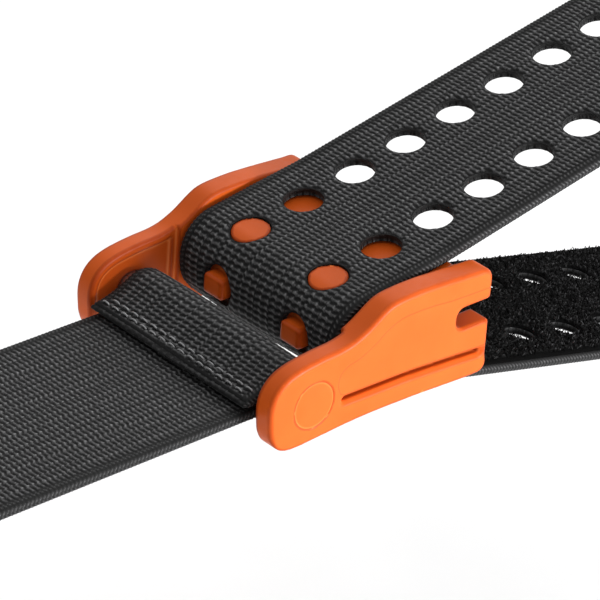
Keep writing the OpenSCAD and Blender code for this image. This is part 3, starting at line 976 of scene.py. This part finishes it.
    points = np.concatenate(verts)
    every_s, every_y = np.zeros(count), np.zeros(count)
    every_s[top], every_y[top] = S, Y
    every_s[back], every_y[back] = Sb, Yb
    is_rim, is_rim_back = np.zeros(count, bool), np.zeros(count, bool)
    is_rim[top[rim]] = True
    is_rim_back[back[rim_b]] = True
    for hole in holes:
        upper = rim_loop(top_quads, is_rim, every_s, every_y, hole)
        lower = rim_loop(back_quads, is_rim_back, every_s, every_y, hole)
        if len(upper[0]) > 3 and len(lower[0]) > 3:
            faces += [f if flip else f[::-1] for f in zip_loops(*upper, *lower)]

    # leave out the points that fell inside a hole
    used = np.zeros(count, bool)
    used[np.concatenate([np.asarray(f) for f in faces])] = True
    number = np.cumsum(used) - 1
    faces = [[int(number[i]) for i in f] for f in faces]
    obj = add_mesh(name, points[used], faces)
    set_attribute(obj, "relief", np.concatenate(reliefs)[used])
    set_attribute(obj, "along", every_s[used])
    plain = np.zeros(count)
    plain[back[:, 1:-1]] = 1
    set_attribute(obj, "plain_side", plain[used])
    return obj


def hole_rows(places):
    return [(s, y) for s in places for y in (-ROW_Y, ROW_Y)]


TAIL = tail_path()
LEAD = lead_path()
ANCHOR = anchor_path()
FIRST_TAIL_HOLE = 6.2
FIRST_LEAD_HOLE = 7.5
TAIL_JOINT_S = TAIL.nearest(TAIL_START)
LEAD_JOINT_S = LEAD.nearest(LEAD_START)
TAIL_HOLES = hole_rows([TAIL_JOINT_S + FIRST_TAIL_HOLE + HOLE_PITCH * k for k in range(-3, 7)])
LEAD_HOLES = hole_rows([LEAD_JOINT_S + FIRST_LEAD_HOLE + HOLE_PITCH * k for k in range(-1, 8)])
# Along the tail and the lead, from their joints
PATCH_START = 103.2
PATCH_LEN = 22.0
LEAD_PILE_LEN = 122.0


def blend_at(obj):
    """Bakes obj's transform into its mesh."""
    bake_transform(obj)


def face_bulge(s, y):
    """The strap bellies out a little below the nose, most a little to the far side of its middle."""
    belly = 0.72 + 0.55 * np.exp(-((y - 5) / 11) ** 2)
    return belly * (1 - smooth_step(np.abs(s - 1.5), 1.5, 6.5))


# The webbing's sheet: its thickness, the height of its ribs, and the dip of its holes' rims
SHEET_T = 2.0
RIB_H = 0.36
RIM_DIP = 0.4
# The pile's height, its tape's thickness and half width, its holes, and the tape's bare borders
PILE_H = 0.5
PILE_BASE = 0.45
PILE_HALF = LINING_HALF + 1.4
TAIL_PILE_R = 5.2
LEAD_PILE_R = 3.7
NEAR_BORDER, FAR_BORDER = 1.9, 0.5


def grid_step(along, across):
    return ((along, across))


def webbing(name, path, side, ends, holes, step, lean=1, **more):
    """A woven strap, its geometric ribs on the side given. lean says which way they slant."""
    return strap(name, path, STRAP_HALF, SHEET_T, side * (WEBBING_T / 2 - 0.2), side,
                 lambda s, y: weave(s, y, ends, holes, lean), RIB_H, holes, step, **more)


def nap(s, y, holes, hole_r):
    """Loop pile as a bumpy sheet, bare at the borders of the tape."""
    bumps = 0.3 + 0.7 * rng.random(s.shape) ** 1.5
    bare = np.where(y > 0, FAR_BORDER, NEAR_BORDER)
    border = smooth_step(PILE_HALF - bare - np.abs(y) + 0.5 * rng.random(s.shape), 0, 0.3)
    height = bumps * border + 0.06 * (1 - border)
    for hs, hy in holes:
        rim = hole_r + 0.5 * rng.random(s.shape)
        height = height * smooth_step(np.hypot(s - hs, y - hy) - rim, 0.0, 0.4)
    return height


def pressed(s, start, height):
    """Pile pressed flat up to start, where the strap lies on the drum."""
    return height * (0.3 + 0.7 * smooth_step(s, start, start + 6))


def lining(name, path, side, joint_s, end, holes, hole_r, step):
    """The pile under a strap, from the path's start to end."""
    return strap(name, path, PILE_HALF, PILE_BASE, side * (WEBBING_T / 2 + PILE_BASE), side,
                 lambda s, y: pressed(s, joint_s, nap(s, y, holes, hole_r)), PILE_H, holes, step,
                 s_range=(0, end), hole_r=hole_r, edge_r=0.2, edge_tone=0.15)


def build_perforated_strap():
    tail = webbing("tail_strap", TAIL, 1, [TAIL.length], TAIL_HOLES, grid_step(0.26, 0.45),
                   tip_r=12.0, bulge=face_bulge, rim_dip=RIM_DIP)
    dress(tail, WEBBING, ["tail_webbing", "wrap_webbing"])
    blend_at(tail)

    lead = webbing("lead_strap", LEAD, -1, [LEAD.length], LEAD_HOLES, grid_step(0.325, 0.52),
                   rim_dip=RIM_DIP)
    dress(lead, WEBBING, ["lead_webbing", "lead_eye_webbing"])
    blend_at(lead)

    tail_pile = lining("tail_pile", TAIL, -1, TAIL_JOINT_S, TAIL_JOINT_S + PATCH_START - 1,
                       TAIL_HOLES, TAIL_PILE_R, (0.5, 0.55))
    dress(tail_pile, PILE, ["tail_lining", "wrap_lining"])
    blend_at(tail_pile)

    lead_pile = lining("lead_pile", LEAD, 1, LEAD_JOINT_S, LEAD_JOINT_S + LEAD_PILE_LEN,
                       LEAD_HOLES, LEAD_PILE_R, grid_step(0.36, 0.38))
    dress(lead_pile, PILE, ["lead_lining"])
    blend_at(lead_pile)
    build_loops()


LOOP_CELL = 0.86
LOOP_SHIFT = 0.38
LOOP_THREAD_R = 0.13


def build_loops():
    """Thousands of small standing loops on the lead's lining, seated in its base."""
    s, y = np.meshgrid(np.arange(LEAD_JOINT_S + 4, LEAD_JOINT_S + LEAD_PILE_LEN - 1, LOOP_CELL),
                       np.arange(NEAR_BORDER - PILE_HALF, PILE_HALF - FAR_BORDER, LOOP_CELL), indexing="ij")
    s = (s + rng.uniform(-LOOP_SHIFT, LOOP_SHIFT, s.shape)).ravel()
    y = (y + rng.uniform(-LOOP_SHIFT, LOOP_SHIFT, y.shape)).ravel()
    clear = np.ones(s.shape, bool)
    for hs, hy in LEAD_HOLES:
        clear &= np.hypot(s - hs, y - hy) > LEAD_PILE_R + 0.1
    s, y = s[clear], y[clear]
    n, bends, sides = len(s), 5, 3
    turn, lean = rng.uniform(0, math.pi, n), rng.normal(0, 0.35, (n, 2))
    tall, wide = rng.uniform(0.75, 1.15, n), rng.uniform(0.2, 0.3, n)
    rings = []
    for a in np.linspace(0, math.pi, bends):
        up, out = math.sin(a), -math.cos(a)
        for b in np.linspace(0, 2 * math.pi, sides, endpoint=False):
            thick, beside = LOOP_THREAD_R * math.cos(b), LOOP_THREAD_R * math.sin(b)
            swing = (wide + thick) * out
            ds = swing * np.cos(turn) - beside * np.sin(turn) + lean[:, 0] * up * tall
            dy = swing * np.sin(turn) + beside * np.cos(turn) + lean[:, 1] * up * tall
            px, pz, nx, nz = LEAD.at(s + ds)
            off = WEBBING_T / 2 + PILE_BASE - 0.15 + (tall + thick) * up
            rings.append(np.stack([px + nx * off, y + dy, pz + nz * off], -1))
    verts = np.stack(rings, 1).reshape(-1, 3)
    one = tube_faces(bends, sides)
    faces = [[v + k * bends * sides for v in face] for k in range(n) for face in one]
    loops = add_mesh("lead_pile_loops", verts, faces)
    set_attribute(loops, "relief", np.repeat(rng.uniform(0.2, 1.0, n), bends * sides))
    dress(loops, PILE, ["lead_lining"])
    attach(loops, "lead")


def hooks(s, y):
    """Rows of small hooks, each leaning along the patch."""
    row = np.cos(2 * math.pi * y / 1.5)
    col = np.cos(2 * math.pi * s / 1.6 + 0.9 * np.sign(row))
    return np.clip(row * row * 1.2 - 0.2, 0, 1) * np.clip(0.5 + 0.7 * col, 0, 1)


def build_hook_patch():
    start = TAIL_JOINT_S + PATCH_START
    base = 0.5
    patch = strap("hook_patch", TAIL, LINING_HALF, base, -WEBBING_T / 2 - base, -1, hooks, 0.5, [],
                  (0.4, 0.38), s_range=(start, start + PATCH_LEN), edge_r=0.2, tip_r=8.0, edge_tone=0.1)
    dress(patch, HOOK, ["tail_hook_patch"])
    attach(patch, "tail")


# ------------ stitching

STITCH_RISE = 0.42
THREAD_R = 0.19


def arched_stitches(spots, length):
    """Thread arches along Y. Each spot is (x, y, z, nx, nz): its foot and the surface's normal."""
    verts, faces, bends, sides = [], [], 7, 6
    for x, y, z, nx, nz in spots:
        faces += tube_faces(bends, sides, len(verts))
        for a in np.linspace(-0.12, math.pi + 0.12, bends):
            centre = np.array([x, y, z]) + np.array([nx, 0, nz]) * (STITCH_RISE * math.sin(a) - 0.05)
            centre[1] -= length / 2 * math.cos(a)
            climb = STITCH_RISE * math.cos(a)
            tangent = np.array([nx * climb, length / 2 * math.sin(a), nz * climb])
            tangent /= np.linalg.norm(tangent)
            lateral = np.array([-nz, 0, nx])
            upward = np.cross(tangent, lateral)
            for b in np.linspace(0, 2 * math.pi, sides, endpoint=False):
                verts.append(centre + THREAD_R * (math.cos(b) * lateral + math.sin(b) * upward))
    return verts, faces


def stitch_spots(path, places, off, half, pitch):
    """Spots in rows across a strap, every other row shifted by half a pitch."""
    spots = []
    for row, s in enumerate(places):
        px, pz, nx, nz = (float(v) for v in path.at(s))
        sign = 1 if off > 0 else -1
        count = int(half / pitch)
        for k in range(-count, count + 1):
            y = (k + 0.5 * (row % 2) - 0.25) * pitch
            spots.append((px + nx * off, y, pz + nz * off, sign * nx, sign * nz))
    return spots


EYE_ROWS = (4, 12, 20)
EYE_STITCH, EYE_STITCH_PITCH = 2.6, 3.6
LOOP_STITCH, LOOP_STITCH_PITCH = 1.9, 3.1


def eye_spots(path, arriving, off):
    """Rows of stitches on both plies behind a sewn eye."""
    laid_back = [path.length - EYE_PLY + s for s in EYE_ROWS]
    return (stitch_spots(path, laid_back, off, 21, EYE_STITCH_PITCH)
            + stitch_spots(path, arriving, off, 21, EYE_STITCH_PITCH))


def build_stitching():
    top, low_z = WEBBING_T / 2 + 0.02, ANCHOR_Z - WEBBING_T / 2
    upper = [ANCHOR.nearest((x, ANCHOR_Z + WEBBING_T / 2 + 1.0)) for x in (-9.3, -11.0)]
    lower = [ANCHOR.nearest((x, low_z)) for x in (-9.3, -11.0)]
    loop = (stitch_spots(ANCHOR, upper, top + 0.16, 24, LOOP_STITCH_PITCH)
            + stitch_spots(ANCHOR, lower, top, 24, LOOP_STITCH_PITCH))
    anchor_rows = [ANCHOR.nearest((ANCHOR_EYE_X + EYE_APEX + s, low_z)) for s in EYE_ROWS]
    lead_rows = [LEAD_JOINT_S + LEAD_REACH + EYE_PLY - s for s in EYE_ROWS]
    patch_rows = [TAIL_JOINT_S + PATCH_START + s for s in (2, PATCH_LEN - 3)]
    for name, node, body, length, spots in (
            ("loop_stitches", "anchor_loop_stitching", "anchor_strap", LOOP_STITCH, loop),
            ("anchor_eye_stitches", "anchor_eye_stitching", "anchor_strap", EYE_STITCH,
             eye_spots(ANCHOR, anchor_rows, top)),
            ("lead_eye_stitches", "lead_eye_stitching", "lead", EYE_STITCH,
             eye_spots(LEAD, lead_rows, -top)),
            ("patch_stitches", "tail_patch_stitching", "tail", EYE_STITCH,
             stitch_spots(TAIL, patch_rows, top, 15, EYE_STITCH_PITCH))):
        stitches = add_mesh(name, *arched_stitches(spots, length))
        dress(stitches, THREAD, [node])
        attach(stitches, body)


LOOP_END = ANCHOR.nearest((-10.5, ANCHOR_Z - WEBBING_T / 2))


def crown(s, y):
    """The sewn loop is a little fuller at mid-width."""
    return 0.35 * (1 - (y / STRAP_HALF) ** 2) * smooth_step(s, 2, 8) * (1 - smooth_step(s, 22, 30))


def build_anchor_strap():
    loop = webbing("anchor_loop", ANCHOR, 1, [0], [], grid_step(0.26, 0.42),
                   s_range=(0, LOOP_END), bulge=crown, round_start=1.1)
    run_step = [1.15 * step for step in grid_step(0.26, 0.42)]
    run = webbing("anchor_run", ANCHOR, -1, [ANCHOR.length], [], run_step, -1,
                  s_range=(LOOP_END, ANCHOR.length))
    # the ply that is turned under at the loop's end
    top = ANCHOR_Z + WEBBING_T / 2
    under = Path([(PLY_END - 0.8, top + 0.25), (PLY_END + 3.2, top + 0.6)])
    hem = strap("anchor_loop_hem", under, STRAP_HALF, 0.95, 0.95, 1,
                lambda s, y: 0.75 * weave(s, y, [], [], 1), 0.2, [], grid_step(0.26, 0.42),
                edge_r=0.3, round_start=0.5)
    for part, nodes in ((loop, ["anchor_loop_webbing"]), (run, ["anchor_webbing", "anchor_eye_webbing"]),
                        (hem, ["anchor_loop_webbing"])):
        dress(part, WEBBING, nodes)
        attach(part, "anchor_strap")


# ------------ camera, light, floor

CAMERA_AT = Vector((-455.68, -509.11, 409.64)) * MM
CAMERA_RIGHT = Vector((0.75035, -0.65811, 0.06217))
CAMERA_BACK = Vector((-0.59547, -0.63207, 0.49588))
FOCAL_MM = 225.6


def add_camera():
    data = bpy.data.cameras.new("camera")
    data.sensor_width = 36
    data.lens = FOCAL_MM
    data.clip_start = 0.02
    camera = add_object("camera", data)
    back = CAMERA_BACK.normalized()
    up = back.cross(CAMERA_RIGHT).normalized()
    right = up.cross(back)
    camera.matrix_world = Matrix.Translation(CAMERA_AT) @ Matrix((right, up, back)).transposed().to_4x4()
    bpy.context.scene.camera = camera


def add_softbox(name, place, aim, size, power):
    data = bpy.data.lights.new(name, "AREA")
    data.shape = "RECTANGLE"
    data.size, data.size_y = size
    data.energy = power
    turn = (place - aim).to_track_quat("Z", "Y").to_matrix().to_4x4()
    add_object(name, data).matrix_world = Matrix.Translation(place) @ turn


# The side from which the white surroundings are brightest
LIGHT_SIDE = Vector((0.62, -0.25, 0.74))


def add_studio():
    """White floor and white surroundings, a low key from the right and a weak softbox behind."""
    scene = bpy.context.scene
    scene.view_settings.view_transform = "Standard"
    world = bpy.data.worlds.new("studio")
    world.use_nodes = True
    tree = world.node_tree
    towards = tree.nodes.new("ShaderNodeVectorMath")
    towards.operation = "DOT_PRODUCT"
    towards.inputs[1].default_value = LIGHT_SIDE
    place = tree.nodes.new("ShaderNodeTexCoord")
    tree.links.new(place.outputs["Generated"], towards.inputs[0])
    spread = tree.nodes.new("ShaderNodeMapRange")
    for socket, value in (("From Min", -0.5), ("From Max", 1.0), ("To Min", 0.2), ("To Max", 1.25)):
        spread.inputs[socket].default_value = value
    tree.links.new(towards.outputs["Value"], spread.inputs["Value"])
    tree.links.new(spread.outputs["Result"], tree.nodes["Background"].inputs["Strength"])
    tree.nodes["Background"].inputs["Color"].default_value = (1, 1, 1, 1)
    scene.world = world
    middle = Vector((0.03, 0, 0.01))
    add_softbox("key", middle + Vector((0.36, -0.92, 0.12)), middle, (0.3, 0.3), 16)
    add_softbox("back", middle + Vector((0.6, 0.63, 0.5)), middle, (0.6, 0.4), 0.8)
    floor_material = Graph("floor")
    shade = floor_material.ramp(floor_material.noise(40, 2), (0.3, 0.93), (0.7, 0.95))
    floor_material.finish(shade, 0.9, None)
    size = 6000.0
    z = cad_box[0][2] / MM - 60
    floor = add_mesh("floor", [(-size, -size, z), (size, -size, z), (size, size, z), (-size, size, z)],
                     [[0, 1, 2, 3]], smooth=False)
    floor.data.materials.append(floor_material.material)


add_camera()
build_buckle()
build_plug("near_plug", "near_pin_plug", -1)
build_plug("far_plug", "far_pin_plug", 1)
build_perforated_strap()
build_anchor_strap()
build_hook_patch()
build_stitching()
dress(frame["nodes"]["front_pin"], STEEL)
add_studio()
